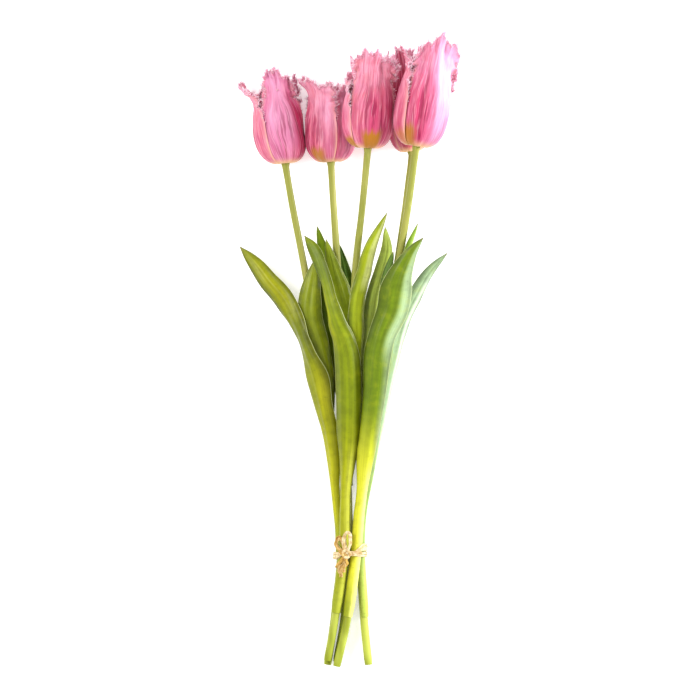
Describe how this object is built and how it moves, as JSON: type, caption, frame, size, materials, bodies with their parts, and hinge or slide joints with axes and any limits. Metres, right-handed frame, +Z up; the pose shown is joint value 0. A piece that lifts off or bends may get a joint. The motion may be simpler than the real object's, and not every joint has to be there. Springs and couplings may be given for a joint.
{
  "type": "fringed tulip bunch",
  "caption": "Hand-tied bunch of long-stemmed fringed tulips lying on a surface: closed pink blooms with needle-like fringes, channelled leaves and a raffia tie.",
  "frame": {"origin": "middle of the bunch's outline, on the surface it lies on", "axes": "+Y along the stems from the cut ends to the blooms, +Z up from the surface"},
  "size_m": [0.1582, 0.4512, 0.073],
  "materials": {
    "petal": "satin petal, pink with deeper veins and a pale fringe",
    "heart": "matt, yellow-green pistil and ochre anthers",
    "stem": "satin, smooth and pale yellow-green",
    "leaf": "satin with a faint bloom, finely ribbed along its length",
    "raffia": "dry fibre, matt with a slight sheen"
  },
  "bodies": {
    "root": {"stem_1": "stem", "stem_2": "stem", "stem_3": "stem", "stem_4": "stem", "stem_5": "stem", "bloom_1": "petal", "bloom_2": "petal", "bloom_3": "petal", "bloom_4": "petal", "bloom_5": "petal", "bloom_1_heart": "heart", "bloom_2_heart": "heart", "bloom_3_heart": "heart", "bloom_4_heart": "heart", "bloom_5_heart": "heart", "leaf_1_left": "leaf", "leaf_1_front": "leaf", "leaf_2_front": "leaf", "leaf_2_right": "leaf", "leaf_2_left": "leaf", "leaf_3_front": "leaf", "leaf_3_right": "leaf", "leaf_4_front": "leaf", "leaf_4_right": "leaf", "leaf_4_left": "leaf", "leaf_5_left": "leaf", "leaf_5_right": "leaf", "raffia_tie": "raffia"}
  },
  "joints": []
}
